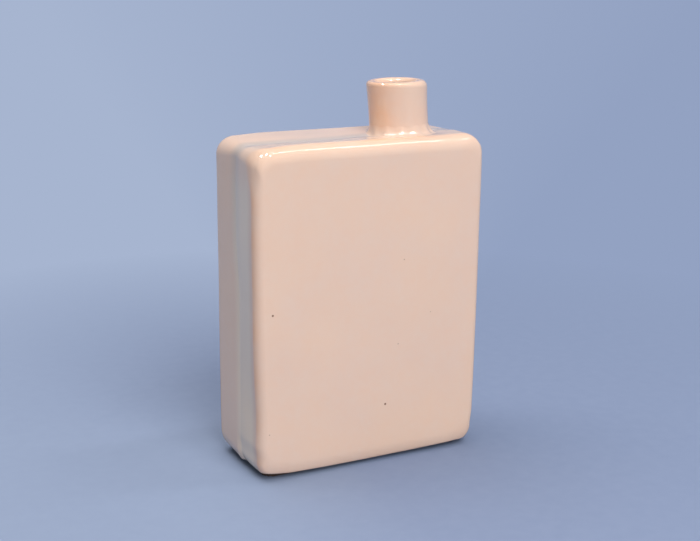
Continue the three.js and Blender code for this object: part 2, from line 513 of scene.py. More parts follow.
hole_size = {"radius1": HOLE_RADIUS, "radius2": HOLE_RADIUS, "depth": 4 * BODY_WALL}
hole_place = {"segments": HOLE_SIDES, "matrix": neck_seat}
cutter = plain_object("hole_cutter", bmesh.ops.create_cone, **hole_size, **hole_place)
for piece in body_pieces:
    cut = piece.modifiers.new("hole", "BOOLEAN")
    cut.object = cutter
    cut.operation = "DIFFERENCE"
    cut.solver = "EXACT"
    plain_mesh(piece)
    print(piece.name, "faces with the hole:", len(piece.data.polygons))
bpy.data.objects.remove(cutter)

# %% [markdown]
# ## The neck
# The neck is a short thrown tube. Its wall is waisted by a hair, its lip is rounded more on the
# outside than towards the bore, and it leans a few degrees to the left. The tree carries its profile
# round a circle, and the ring is then stood up in its seat.

# %% Making the neck
NECK_STATIONS = 96
LIP_STEPS = 10
WALL_STEPS = 12
FLARE_FROM = 0.35


def circle(radius):
    """Outline of a turned piece."""
    turns = [step / NECK_STATIONS * math.tau for step in range(NECK_STATIONS)]
    return [Vector((radius * math.cos(turn), 0, radius * math.sin(turn))) for turn in turns]


def neck_profile():
    """Wall from the ceiling up, over the lip and down the bore, closed on itself."""
    rows = []
    wall_top = NECK_HEIGHT - LIP_OUTER_ROLL
    for step in range(WALL_STEPS):
        share = step / WALL_STEPS
        height = -BODY_WALL + (wall_top + BODY_WALL) * share
        flare = max(0.0, (height / wall_top - FLARE_FROM) / (1 - FLARE_FROM))
        rows.append((NECK_WAIST + (NECK_RIM - NECK_WAIST) * flare**2, height))
    for angle in quarter(LIP_STEPS):
        radius = NECK_RIM - LIP_OUTER_ROLL * (1 - math.cos(angle))
        rows.append((radius, wall_top + LIP_OUTER_ROLL * math.sin(angle)))
    for angle in quarter(LIP_STEPS):
        radius = NECK_BORE + LIP_INNER_ROLL * (1 - math.sin(angle))
        rows.append((radius, NECK_HEIGHT - LIP_INNER_ROLL * (1 - math.cos(angle))))
    bore_top = NECK_HEIGHT - LIP_INNER_ROLL
    for step in range(1, WALL_STEPS + 1):
        rows.append((NECK_BORE, bore_top - (bore_top + BODY_WALL) * step / WALL_STEPS))
    closed = rows + rows[:1]
    return [(NECK_RIM - radius, height, 0) for radius, height in closed]


neck_sizes = {
    **body_sizes,
    **dict.fromkeys(("Half width", "Top", "Top corner", "Base corner"), NECK_RIM),
    **dict.fromkeys(("Valley tighten", "Side stretch", "Top stretch", "Base stretch"), 1.0),
    "Foot": -NECK_RIM,
    "Base grow": 0.0,
    "Crest": NECK_HEIGHT,
}
neck_tube = carry_round("neck_tube", circle(NECK_RIM), neck_profile(), neck_sizes, glaze)

# %% Making the lip uneven
LIP_PINCH = 0.45
BORE_SHIFT = 0.5 * MM


def places_of(piece):
    """The piece's points as rows of x, y and z."""
    flat = np.empty(len(piece.data.vertices) * 3)
    piece.data.vertices.foreach_get("co", flat)
    return flat.reshape(-1, 3)


def move_points(piece, points):
    """Puts the piece's points where the rows say."""
    piece.data.vertices.foreach_set("co", points.ravel())
    piece.data.update()


def uneven_lip(points):
    """Tightens the lip on its left, and moves the bore to the left, as a hand leaves them."""
    x, height, z = points.T
    radius = np.hypot(x, z)
    tight = 1 - LIP_PINCH * (1 - x / radius) / 2
    crown = NECK_RIM - LIP_OUTER_ROLL
    on_roll = (radius > crown - WELD) & (height > NECK_HEIGHT - LIP_OUTER_ROLL - WELD)
    tight = np.where(on_roll, tight, 1)
    wider = (NECK_RIM - (NECK_RIM - radius) * tight) / radius
    inwards = np.clip((crown - radius) / (crown - NECK_BORE), 0, 1)
    higher = NECK_HEIGHT - (NECK_HEIGHT - height) * tight
    return np.column_stack((x * wider - BORE_SHIFT * inwards, higher, z * wider))


move_points(neck_tube, uneven_lip(places_of(neck_tube)))
neck_tube.data.transform(neck_seat @ Matrix.Rotation(math.pi / 2, 4, "X"))
print("top of the neck in mm:", round(float(places_of(neck_tube)[:, 2].max()) / MM, 2))

# %% [markdown]
# ## The wiped coil
# A coil of soft clay is pressed round the foot of the neck and wiped with a wet finger. It becomes
# a hollow fillet, drawn out along the seam, with the finger's lumps left in it. Its rings are worked
# out point by point, because they lie on the sloping top on one side and on the leaning neck on the
# other. Both edges are sunk by a hair, so the coil runs into its neighbours with no step.

# %% Making the coil
COIL_STATIONS = 180
COIL_RINGS = 24
COIL_SINK = 0.04 * MM
COIL_HOLLOW = 2.0
COIL_SPREAD = 2.9 * MM
COIL_TO_RIGHT = 0.5 * MM
COIL_TO_FRONT = 0.7 * MM
COIL_CLIMB = 0.2 * MM
FINGER_LUMPS = ((3, 0.7, 0.16), (5, 2.1, 0.14), (9, 0.4, 0.1))
FINGER_DENT = 0.4 * MM
FINGER_MARKS = 13
FINGER_START = 2.4
COIL_UNDER = ((0.5, -0.3), (-0.2, -0.3), (-0.2, 0.9))


def coil_lump(turn):
    """How much thicker the coil is at a turn round the neck."""
    return sum(size * MM * math.sin(count * turn + phase) for count, phase, size in FINGER_LUMPS)


def top_at(y):
    """Height of the body's top at a depth, between its crests."""
    return TOP - float(slope_in(y))


def coil_point(turn, share_out, share_up):
    """A point of the coil: shares run from the neck outwards and from the body's top up."""
    along, across = math.cos(turn), math.sin(turn)
    spread = COIL_SPREAD + COIL_TO_RIGHT * along - COIL_TO_FRONT * across + coil_lump(turn)
    radius = NECK_WAIST - COIL_SINK + spread * share_out
    low = top_at(radius * across) - COIL_SINK
    high = TOP + COIL_HEIGHT + COIL_CLIMB * along + coil_lump(turn + 1) / 2
    height = low + (high - low) * share_up
    if 0 < share_up < 1:
        mark = math.sin(FINGER_MARKS * turn + FINGER_START)
        height += FINGER_DENT * math.sin(math.pi * share_up) * mark
    shift = (height - TOP) * math.tan(NECK_LEAN)
    return (NECK_OFFSET - shift + radius * along, radius * across, height)


def coil_mesh():
    """Fillet rings from the neck to the outer edge, then back under it to close the ring."""
    shares = []
    for angle in quarter(COIL_RINGS):
        out = 1 - max(math.cos(angle), 0) ** (2 / COIL_HOLLOW)
        shares.append((out, 1 - math.sin(angle) ** (2 / COIL_HOLLOW)))
    shares += COIL_UNDER
    turns = [step / COIL_STATIONS * math.tau for step in range(COIL_STATIONS)]
    points = [coil_point(turn, *share) for share in shares for turn in turns]
    faces = []
    for row in range(len(shares)):
        here = row * COIL_STATIONS
        there = (row + 1) % len(shares) * COIL_STATIONS
        for i in range(COIL_STATIONS):
            j = (i + 1) % COIL_STATIONS
            faces.append((here + i, here + j, there + j, there + i))
    mesh = bpy.data.meshes.new("wiped_coil")
    mesh.from_pydata(points, [], faces)
    mesh.materials.append(glaze)
    return mesh


wiped_coil = add_object("wiped_coil", coil_mesh())
plain_mesh(wiped_coil)
print("coil faces:", len(wiped_coil.data.polygons))

# %% [markdown]
# ## Where the front edge is worn
# The front half was sponged over by hand before it was glazed, along its top and most at its left
# end. There the edge is rounder than the mould left it: it starts to turn further back from the
# face. Both the glaze and the final shape follow from that depth, so it is worked out first.

# %% Where the edge starts to turn
WORN_FROM = 10.0 * MM
WORN_LESS_ALONG = 4.5 * MM
WORN_END = 8 * MM
WORN_DOWN = 20 * MM
WORN_FULL_AT_END = 0.4
WORN_FULL_ALONG = 0.7


def soft_step(share):
    """Runs from 0 to 1 with no kink at either end."""
    share = np.clip(share, 0, 1)
    return share * share * (3 - 2 * share)


def near_top(z, along=1):
    """1 along the worn top of the front, 0 further down. At its left end it reaches 1 higher up."""
    full_below = ROLL_TOP * (WORN_FULL_AT_END + WORN_FULL_ALONG * along)
    return soft_step((z - TOP + WORN_DOWN) / (WORN_DOWN - full_below))


def turns_from(points):
    """Depth from the seam at which the edge of the front starts to turn."""
    x, _, z = points.T
    along = soft_step((x + HALF_WIDTH) / WORN_END)
    worn_from = WORN_FROM + WORN_LESS_ALONG * along
    return CREST - (CREST - worn_from) * near_top(z, along)


# %% [markdown]
# ## Where the glaze runs thin or thick, and where light is painted
# A glaze moves while it melts. It draws back from edges and gathers in hollows, so the edges look
# warmer and the hollows cooler and deeper. Painted light is stored alongside. Three attributes hold
# that on each piece, from 0 to 1: one on the edges and the lip, which also holds painted shade at
# the turn of the edges and on the left of the neck and coil, and painted warm light near the top;
# one on the strip in front of the seam, which is a painted reflection; and one in the valley itself,
# partly gathered glaze and partly painted reflection and shade. They are worked out here, while
# every piece still follows its rule exactly.

# %% Writing the attributes
# The tint at the edges is partly glaze run thin and partly painted shade where the edge turns from the
# light.
EDGE_PEAK = 0.25
EDGE_LESS_ON_TOP = 0.5
# The warmer tint near the top is painted warm light on the top.
TOP_PAINTED_WARM_LIGHT = 0.12
BASE_EDGE = 3.0 * MM
BASE_THIN = 0.4
BARE_SPOT = Vector((-45.5, -1.0, 3.0)) * MM
BARE_REACH = 1.6 * MM
BARE_THIN = 1.5
# The pale strip in front of the seam is a painted reflection.
STRIP_FADE = 5.0 * MM
PAINTED_REFLECTION_LESS_ON_TOP = 0.9
# The grey in the valley is partly gathered glaze and partly painted reflection and shade.
VALLEY_REACH = 6.5 * MM
POOL_AND_PAINTED_LIGHT_ON_SIDES = 0.5
NECK_THIN = 0.2
# The warmer, darker left of the neck and coil is painted shade.
NECK_LEFT_PAINTED_SHADE = 0.7
LIP_THIN = 0.4
LIP_REACH = 2 * MM


def write_attributes(piece, thin_and_painted_light, painted_reflection=0.0, pool_and_painted_light=0.0):
    """Stores the three numbers for each point of the piece."""
    for name, values in (("thin_and_painted_light", thin_and_painted_light), ("painted_reflection", painted_reflection), ("pool_and_painted_light", pool_and_painted_light)):
        layer = piece.data.attributes.new(name, "FLOAT", "POINT")
        filled = np.full(len(piece.data.vertices), values, dtype=np.float32)
        layer.data.foreach_set("value", filled)


def body_thin_and_painted_light(points):
    """1 on the turn into the rolled edge, partly painted shade, and along the base; 0 on the face."""
    y, z = points[:, 1], points[:, 2]
    start = np.where(y < 0, turns_from(points), CREST)
    turned = np.clip((np.abs(y) - start) / (FACE_DEPTH - start), 0, 1) / EDGE_PEAK
    edge = turned * np.exp(1 - turned) * (1 - EDGE_LESS_ON_TOP * near_top(z))
    low = BASE_THIN * np.clip(1 - z / BASE_EDGE, 0, 1)
    spot = np.exp(-np.sum((points - np.array(BARE_SPOT)) ** 2, axis=1) / BARE_REACH**2)
    # The last term is painted warm light near the top.
    return np.maximum(np.maximum(edge, low), BARE_THIN * spot) + TOP_PAINTED_WARM_LIGHT * near_top(z)


def painted_strip_reflection(points):
    """1 on the strip in front of the seam, a painted reflection, fading towards the top."""
    y, z = points[:, 1], points[:, 2]
    strip = soft_step((y + CREST) / STRIP_FADE) * soft_step(1 - y / STRIP_FADE)
    return strip * (1 - PAINTED_REFLECTION_LESS_ON_TOP * near_top(z))


def seam_pool_and_painted_light(points):
    """1 in the valley on top, less on the upper sides: pooled glaze with painted reflection and shade.
    """
    y, z = points[:, 1], points[:, 2]
    valley = soft_step(1 - np.abs(y) / VALLEY_REACH) * soft_step((z - TOP / 2) * 2 / TOP)
    on_top = soft_step((z - TOP) / TOP_CORNER + 1)
    return (POOL_AND_PAINTED_LIGHT_ON_SIDES + (1 - POOL_AND_PAINTED_LIGHT_ON_SIDES) * on_top) * valley


for piece in body_pieces:
    points = places_of(piece)
    write_attributes(piece, body_thin_and_painted_light(points), painted_strip_reflection(points), seam_pool_and_painted_light(points))

in_seat = places_of(neck_tube) @ np.array(neck_seat.inverted().to_3x3()).T
in_seat += np.array(neck_seat.inverted().translation)
# The left of the neck is tinted warmer and darker: painted shade.
neck_shaded_left = soft_step(-in_seat[:, 0] / NECK_WAIST)
neck_lip = np.clip((in_seat[:, 2] - NECK_HEIGHT + LIP_REACH) / LIP_REACH, 0, 1)
write_attributes(neck_tube, NECK_THIN + LIP_THIN * neck_lip + NECK_LEFT_PAINTED_SHADE * neck_shaded_left)
on_coil = places_of(wiped_coil)
coil_up = soft_step((on_coil[:, 2] - TOP) / COIL_HEIGHT)
# The coil's left takes the neck's painted shade, and its foot the top's painted warm light.
coil_shaded_left = soft_step((NECK_OFFSET - on_coil[:, 0]) / NECK_WAIST)
coil_thin_and_painted_shade = NECK_THIN + NECK_LEFT_PAINTED_SHADE * coil_shaded_left
write_attributes(wiped_coil, TOP_PAINTED_WARM_LIGHT + (coil_thin_and_painted_shade - TOP_PAINTED_WARM_LIGHT) * coil_up)

# %% [markdown]
# ## The hand in the clay
# No edge of a hand-built pot is straight. The seam wanders, low on the left the front half is drawn
# in and the back half sticks out past it as a small notch, the top sags towards its ends, the lower
# corners are eased, and everything undulates by a hair. One function gives that to all pieces alike,
# as a small push that depends only on the place, so pieces that meet still meet.

# %% Sizes of the hand's marks
SIDE_BOW = 0.1 * MM
BACK_RISE = 0.3 * MM
SEAM_HEIGHTS = np.array((0, 20, 40, 69, 96, 115, 124, 130)) * MM
SEAM_SHIFTS = np.array((-2.6, -2.2, -1.2, -1.1, 1.3, 1.5, 0.8, -0.3)) * MM
TOP_WANDER = 5.5 * MM
WANDER_SPAN = 25 * MM
WANDER_LEFT = 2 * MM
WANDER_RIGHT = 8 * MM
TOP_SPAN = 4 * MM
NECK_STILL_FROM = 0.3 * MM
NECK_STILL_OVER = 3 * MM
WAVE_COUNT = 10
WAVE_HEIGHT = 0.03 * MM
WAVE_SPAN = (28 * MM, 75 * MM)
STILL_BASE = 12 * MM
DRAW_IN = 1.7 * MM
DRAW_IN_FROM = 65 * MM
DRAW_IN_TO = 30 * MM
FILL_SHARE = 0.75
FILL_FROM = 45 * MM
RIGHT_DRAW = 0.45 * MM
NOTCH = 0.3 * MM
NOTCH_BACK = 2.0 * MM
NOTCH_DEEP = 5 * MM
EASE_CORE = 15 * MM
EASE_FULL = 0.6 * EASE_CORE
RIGHT_EASE = 0.8 * MM
LEFT_EASE = 0.8 * MM
LEFT_EASE_IN_FRONT = 1.3 * MM
TOP_CORE = 12 * MM
RIGHT_WORN = 1.6
END_SAG = 0.9 * MM
SAG_FROM = 28 * MM
RIGHT_FILL = 0.8

# %% The push of the hand
chance = np.random.default_rng(11)
wave_turns = chance.normal(size=(WAVE_COUNT, 3))
wave_turns /= np.linalg.norm(wave_turns, axis=1)[:, None]
wave_turns *= math.tau / chance.uniform(*WAVE_SPAN, size=(WAVE_COUNT, 1))
wave_phases = chance.uniform(0, math.tau, size=(WAVE_COUNT, 3))


def seam_shift(z):
    """How far the seam wanders off the middle at a height."""
    wander = np.full_like(z, SEAM_SHIFTS[0])
    for start, run, shift in zip(SEAM_HEIGHTS, np.diff(SEAM_HEIGHTS), np.diff(SEAM_SHIFTS)):
        wander += shift * soft_step((z - start) / run)
    return wander


def hand_push(points):
    """The push of the hand at each place."""
    x, y, z = points.T
    push = np.zeros_like(points)
    for turn, phase in zip(wave_turns, wave_phases):
        push += WAVE_HEIGHT * np.sin((points @ turn)[:, None] + phase)
    up = np.clip(z / TOP, 0, 1)
    push[:, 0] += SIDE_BOW * (x / HALF_WIDTH) * 4 * up * (1 - up)
    near_seam = np.clip(1 - (y / CREST) ** 2, 0, 1) ** 2
    in_body = 1 - soft_step((z - TOP - NECK_STILL_FROM) / NECK_STILL_OVER)
    on_top = soft_step((z - TOP) / TOP_SPAN + 1)
    on_top *= soft_step((x + HALF_WIDTH - WANDER_LEFT) / WANDER_SPAN)
    to_front = TOP_WANDER * on_top * soft_step((WANDER_RIGHT - x) / WANDER_SPAN)
    push[:, 1] += (seam_shift(z) - to_front) * near_seam * in_body
    push[:, 2] += BACK_RISE * (soft_step(y / TOP_SPAN + 0.5) - 0.5) * up * in_body
    push[:, 2] *= soft_step(z / STILL_BASE)
    in_front = soft_step((DRAW_IN_FROM - z) / DRAW_IN_FROM) * soft_step(-y / CREST)
    in_front *= soft_step(z / DRAW_IN_TO)
    push[:, 0] += DRAW_IN * in_front * np.clip(-x / HALF_WIDTH, 0, 1)
    low_share = soft_step((DRAW_IN_FROM - z) / DRAW_IN_FROM * 2)
    push[:, 0] -= RIGHT_DRAW * low_share * np.clip(x / HALF_WIDTH, 0, 1)
    sag = END_SAG * np.where(x < 0, 1, soft_step(y / CREST * 2 + 0.5))
    sag *= soft_step((np.abs(x) - SAG_FROM) / (HALF_WIDTH - SAG_FROM)) * soft_step(z / TOP * 2 - 1)
    push[:, 2] -= sag * in_body
    return push + base_push(points) + top_push(points) * in_body[:, None]


# %% The push at the top edge and at the base
def drop_from(depth, start, height):
    """How far a quarter round has dropped at a depth, when it starts there and ends at the face."""
    share = np.clip((depth - start) / (FACE_DEPTH - start), 0, 1)
    return height * (1 - np.sqrt(1 - share**2))


def from_core(points, reach, core_z):
    """Directions out of a core that stays a reach away from both ends, and distances from it."""
    x, y, z = points.T
    core_x = np.clip(x, reach - HALF_WIDTH, HALF_WIDTH - reach)
    away = np.column_stack((x - core_x, np.zeros_like(y), z - core_z))
    distance = np.linalg.norm(away, axis=1)
    return away / np.maximum(distance, WELD)[:, None], distance


def top_push(points):
    """The front's top edge is worn rounder than the mould left it: it starts to drop further back."""
    x, y, z = points.T
    outwards, _ = from_core(points, TOP_CORE, np.minimum(z, TOP - TOP_CORE))
    upright = outwards[:, 2] ** 2
    roll = ROLL_SIDE + (ROLL_TOP - ROLL_SIDE) * upright
    worn = np.maximum(drop_from(-y, turns_from(points), roll) - drop_from(-y, CREST, roll), 0)
    worn *= np.where(x > 0, np.minimum(RIGHT_WORN * upright, 1), 1)
    fill = RIGHT_FILL * slope_in(y) * soft_step((x - SAG_FROM) / TOP_CORE)
    fill *= soft_step(z / TOP * 2 - 1)
    return outwards * (fill - worn)[:, None]


def base_push(points):
    """Near the base the valley is filled up, and the corners are eased but for the back left one."""
    x, y, z = points.T
    outwards, _ = from_core(points, BASE_CORNER, np.maximum(z, BASE_CORNER - BASE_RUB))
    fill = FILL_SHARE * slope_in(y) * soft_step((FILL_FROM - z) / FILL_FROM)
    past_seam = soft_step((y - NOTCH_BACK) / (2 * SEAM_FACE) + 0.5)
    behind = past_seam * np.exp(-((np.maximum(y, 0) / NOTCH_DEEP) ** 2))
    notch = NOTCH * behind * soft_step((BASE_CORNER - z) / BASE_CORNER) * (x < 0)
    wide, distance = from_core(points, EASE_CORE, np.maximum(z, EASE_CORE))
    in_corner = soft_step(-2 * np.abs(wide[:, 0]) * wide[:, 2])
    in_corner *= soft_step(distance / EASE_FULL)
    left_ease = LEFT_EASE + (LEFT_EASE_IN_FRONT - LEFT_EASE) * soft_step(-y / FACE_DEPTH)
    ease = in_corner * np.where(x > 0, RIGHT_EASE, left_ease * (1 - past_seam))
    return outwards * (fill + notch)[:, None] - wide * ease[:, None]


# %% Warping the pieces
for piece in (*body_pieces, neck_tube, wiped_coil):
    points = places_of(piece)
    warped = points + hand_push(points)
    move_points(piece, warped)
    print(piece.name, "moved by up to mm:", round(float(np.abs(warped - points).max()) / MM, 2))

# %% [markdown]
# ## The foot
# The underside isn't glazed. It is cut back all round by about two millimetres, more towards the
# ends and at the worn front left corner, so that the vase stands on a low foot and its glazed edge
# hangs clear of the shelf, which shows as a thin dark line round the base. A Boolean could cut it,
# but moving every low point to the height that its place calls for keeps the mesh even.

# %% Cutting the foot
FOOT_WIDTH = 88 * MM
FOOT_DEPTH = 31 * MM
FOOT_HEIGHT = 1.7 * MM
FOOT_MORE_AT_ENDS = 0.7 * MM
WORN_CORNER = 1.1 * MM
WORN_CORNER_REACH = 13 * MM
WORN_CORNER_INSET = 1 * MM
FOOT_CORNER = 4 * MM
FOOT_SLOPE = 1.2 * MM


def cut_height(points):
    """Height of the cut round the foot."""
    aside = np.abs(points[:, 0]) / HALF_WIDTH
    height = FOOT_HEIGHT + FOOT_MORE_AT_ENDS * soft_step(aside)
    front_left = WORN_CORNER_INSET - np.array((HALF_WIDTH, FACE_DEPTH))
    away = np.linalg.norm(points[:, :2] - front_left, axis=1)
    return height + WORN_CORNER * soft_step(1 - away / WORN_CORNER_REACH)


def lowest_height(points):
    """Ground level under the foot, and the height of the cut beyond it."""
    reach = np.array((FOOT_WIDTH / 2 - FOOT_CORNER, FOOT_DEPTH / 2 - FOOT_CORNER))
    beyond = np.abs(points[:, :2]) - reach
    outside = np.linalg.norm(np.maximum(beyond, 0), axis=1) - FOOT_CORNER
    return cut_height(points) * soft_step(outside / FOOT_SLOPE)


for piece in body_pieces:
    points = places_of(piece)
    is_low = points[:, 2] < cut_height(points)
    points[is_low, 2] = lowest_height(points)[is_low]
    move_points(piece, points)
    print(piece.name, "stands at mm:", round(float(points[:, 2].min()) / MM, 3))

# %% [markdown]
# ## The glaze
# The warmer edges are partly painted shade and the cooler hollows partly painted reflection and shade.
# The paler strip before the seam is a painted reflection, the warmer left of the neck painted shade and
# the warmer top painted warm light.
# The finish is a glossy peach glaze. It isn't one flat colour: it has broad, faint clouds where it
# lies thicker, fine mottling, warmer edges, cooler hollows, and a few brown specks where iron in the
# clay burnt through. The few that are large enough to know by sight are listed one by one.
# Specks of chance size come from a Voronoi texture: it scatters points through the clay's volume,
# and only those near the surface show. A slight orange peel goes into the bump.

# %% Helpers for a finish
def start_finish(material):
    """Clears a material and gives its tree, its shader and its coordinates."""
    material.use_nodes = True
    tree = material.node_tree
    tree.nodes.clear()
    shader = tree.nodes.new("ShaderNodeBsdfPrincipled")
    add_node(tree, "ShaderNodeOutputMaterial", {"Surface": shader.outputs[0]})
    place = add_node(tree, "ShaderNodeTexCoord").outputs["Object"]
    return tree, shader, place


def noise(tree, place, span, detail):
    """Noise whose patches are about a span across, from 0 to 1."""
    inputs = {"Vector": place, "Scale": 1 / span, "Detail": detail, "Roughness": 0.55}
    return add_node(tree, "ShaderNodeTexNoise", inputs).outputs[0]


def ramp(tree, value, low, high, to_low=0.0, to_high=1.0):
    """Stretches a part of a range, and stops at its ends."""
    inputs = {"Value": value, 1: low, 2: high, 3: to_low, 4: to_high}
    return add_node(tree, "ShaderNodeMapRange", inputs, clamp=True).outputs[0]


def patchy(tree, place, span, detail, to_low, to_high):
    """Noise whose middle is stretched over a range."""
    return ramp(tree, noise(tree, place, span, detail), 0.3, 0.7, to_low, to_high)


def tint(tree, factor, below, above):
    """Mixes two colours by a factor."""
    inputs = {0: factor, 6: below, 7: above}
    return add_node(tree, "ShaderNodeMix", inputs, data_type="RGBA").outputs[2]


def attribute(tree, name):
    """One of the numbers stored on the piece."""
    return add_node(tree, "ShaderNodeAttribute", attribute_name=name).outputs["Fac"]


def bump(tree, height, strength, distance):
    """A relief on the surface that follows a height."""
    inputs = {"Strength": strength, "Distance": distance, "Height": height}
    return add_node(tree, "ShaderNodeBump", inputs).outputs[0]


def paint(red, green, blue):
    """A colour as a painter's chart gives it, made linear for the shader."""
    shares = [value / 255 for value in (red, green, blue)]
    linear = [s / 12.92 if s <= 0.04045 else ((s + 0.055) / 1.055) ** 2.4 for s in shares]
    return (*linear, 1.0)


# %% Colours and marks of the glaze
# Across and up from the middle of the base and radius, in mm, and depth of colour
KNOWN_SPECKS = (
    (-42.9, 67.3, 0.34, 0.9),
    (5.9, 24.3, 0.34, 0.9),
    (11.3, 48.8, 0.22, 0.4),
    (13.3, 83.1, 0.22, 0.4),
    (-46.9, 21.2, 0.22, 0.5),
    (-44.5, 19.9, 0.2, 0.4),
    (25.8, 60.3, 0.2, 0.35),
)
PEACH = paint(227, 201, 184)
PEACH_CLOUD = paint(230, 202, 182)
# The warm tone also paints shade and warm light, the pale one reflection, the grey one reflection and
# shade.
PEACH_THIN_AND_PAINTED_LIGHT = paint(236, 182, 143)
PEACH_PAINTED_REFLECTION = paint(237, 225, 202)
PEACH_POOL_AND_PAINTED_LIGHT = paint(180, 175, 173)
SPECK_BROWN = paint(112, 72, 50)
CLOUD_SPAN = 30 * MM
MOTTLE_SPAN = 2.5 * MM
MOTTLE_SHARE = 0.1
THIN_SPAN = 9 * MM
THIN_SHARES = (0.3, 0.7)
PAINTED_REFLECTION_SHARE = 0.5
POOL_AND_PAINTED_LIGHT_SHARE = 0.75
SPECK_SPAN = 16 * MM
SPECK_SIZES = (0.011, 0.021)
SPECK_SHARE = 0.4
SPECK_BLUR = 1.6
GLOSS_SPAN = 12 * MM
GLOSS_RANGE = (0.04, 0.08)
PEEL_SPAN = 6 * MM
PEEL_HEIGHT = 0.012 * MM
GLAZE_IOR = 1.52


# %% The peach glaze
def known_speck(tree, place, x, z, radius, depth):
    """Mask of one speck on the front face."""
    spot = (x * MM, -FACE_DEPTH, z * MM)
    away = add_node(tree, "ShaderNodeVectorMath", {0: place, 1: spot}, operation="DISTANCE")
    return ramp(tree, away.outputs["Value"], radius * MM, SPECK_BLUR * radius * MM, depth, 0.0)


def chance_specks(tree, place):
    """Mask of specks scattered through the clay."""
    inputs = {"Vector": place, "Scale": 1 / SPECK_SPAN}
    near = add_node(tree, "ShaderNodeTexVoronoi", inputs).outputs["Distance"]
    return ramp(tree, near, *SPECK_SIZES, SPECK_SHARE, 0.0)


def glaze_finish(material):
    """Glossy peach glaze, warmer on edges, cooler in hollows, with painted shade, reflection and light.
    """
    tree, shader, place = start_finish(material)
    clouds = ramp(tree, noise(tree, place, CLOUD_SPAN, 2), 0.35, 0.65)
    colour = tint(tree, clouds, PEACH, PEACH_CLOUD)
    mottle = patchy(tree, place, MOTTLE_SPAN, 4, 0.0, MOTTLE_SHARE)
    colour = tint(tree, mottle, colour, PEACH_THIN_AND_PAINTED_LIGHT)
    patches = patchy(tree, place, THIN_SPAN, 2, *THIN_SHARES)
    # These runs add painted light: shade and warm light in the warm tone, reflection in the pale and
    # grey.
    runs = (
        ("thin_and_painted_light", patches, PEACH_THIN_AND_PAINTED_LIGHT),
        ("painted_reflection", PAINTED_REFLECTION_SHARE, PEACH_PAINTED_REFLECTION),
        ("pool_and_painted_light", POOL_AND_PAINTED_LIGHT_SHARE, PEACH_POOL_AND_PAINTED_LIGHT),
    )
    for name, share, turned in runs:
        factor = calc(tree, "MULTIPLY", attribute(tree, name), share)
        colour = tint(tree, factor, colour, turned)
    specks = chance_specks(tree, place)
    for speck in KNOWN_SPECKS:
        specks = calc(tree, "MAXIMUM", specks, known_speck(tree, place, *speck))
    colour = tint(tree, specks, colour, SPECK_BROWN)
    gloss = patchy(tree, place, GLOSS_SPAN, 3, *GLOSS_RANGE)
    peel = bump(tree, noise(tree, place, PEEL_SPAN, 1), 1.0, PEEL_HEIGHT)
    feed(tree, shader, {"Base Color": colour, "Roughness": gloss, "Normal": peel, "IOR": GLAZE_IOR})


glaze_finish(glaze)
glaze_finish(pooled_glaze)
print("nodes in the glaze:", len(glaze.node_tree.nodes))

# %% [markdown]
# ## The bare underside
# A pot can't stand in the kiln on glaze, so the flat under the base is wiped clean and shows the
# bare clay: dull, brown and grainy. Its brown is painted darker than the clay's own, as shade in the
# gap under the base. The foot and the cut round it get this second finish.

# %% The bare clay
# The clay colours are darkened as painted shade for the gap under the base.
CLAY_WITH_PAINTED_SHADE = paint(116, 92, 76)
CLAY_DARK_WITH_PAINTED_SHADE = paint(95, 73, 59)
CLAY_CLOUD_SPAN = 14 * MM
CLAY_CLOUD_SHARE = 0.6
GRAIN_SPAN = 0.8 * MM
GRAIN_SHARE = 0.35
GRAIN_HEIGHT = 0.08 * MM
GRAIN_STRENGTH = 0.6
CLAY_ROUGHNESS = (0.78, 0.92)


def clay_finish(material):
    """Unglazed fired clay, painted darker as shade in the gap under the base."""
    tree, shader, place = start_finish(material)
    grain = noise(tree, place, GRAIN_SPAN, 5)
    clouds = patchy(tree, place, CLAY_CLOUD_SPAN, 3, 0.0, CLAY_CLOUD_SHARE)
    colour = tint(tree, clouds, CLAY_WITH_PAINTED_SHADE, CLAY_DARK_WITH_PAINTED_SHADE)
    colour = tint(tree, ramp(tree, grain, 0.45, 0.7, 0.0, GRAIN_SHARE), colour, CLAY_DARK_WITH_PAINTED_SHADE)
    dull = ramp(tree, grain, 0.2, 0.8, *CLAY_ROUGHNESS)
    relief = bump(tree, grain, GRAIN_STRENGTH, GRAIN_HEIGHT)
    feed(tree, shader, {"Base Color": colour, "Roughness": dull, "Normal": relief})


def bare_under(piece):
    """Gives the faces of the foot and of the cut round it the bare finish."""
    piece.data.materials.append(bare_clay_with_painted_shade)
    points = places_of(piece)
    is_low = points[:, 2] < cut_height(points) + WELD
    bare_faces = [face for face in piece.data.polygons if all(is_low[i] for i in face.vertices)]
    for face in bare_faces:
        face.material_index = len(piece.data.materials) - 1
    print(piece.name, "bare faces:", len(bare_faces))


clay_finish(bare_clay_with_painted_shade)
for piece in body_pieces:
    bare_under(piece)

# %% [markdown]
# ## Handing the pieces to the frame
# Each skin rides on the vase's one body and stands for its solid, which is hidden.

# %% Riding on the frame
HAND_OVER = (
    (front_shell, "front_half", "glaze"),
    (back_shell, "back_half", "glaze"),
    (seam_band, "seam_slip", "seam"),
    (neck_tube, "neck", "glaze"),
    (wiped_coil, "neck_coil", "glaze"),
)
for piece, node, slot in HAND_OVER:
    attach(piece, "root")
    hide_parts(node)
print("handed over:", [piece.name for piece, _, _ in HAND_OVER])

# %% [markdown]
# ## Floor and light
# The floor is one wide, plain, pale sheet of paper that runs into a backdrop, even but for painted
# light: paper and backdrop are painted a little lighter on the left and darker on the right. Two
# broad boxes, in front and overhead, do the lighting with a pale sky and are kept out of the glaze's
# mirror. Four small boxes are there to be seen in the glaze: a long one high on the right draws the
# bright line along the top edge, and a row of three overhead, which lights nothing else, puts small
# glints on the lip, the corner and the coil. Their places matter more than their power.

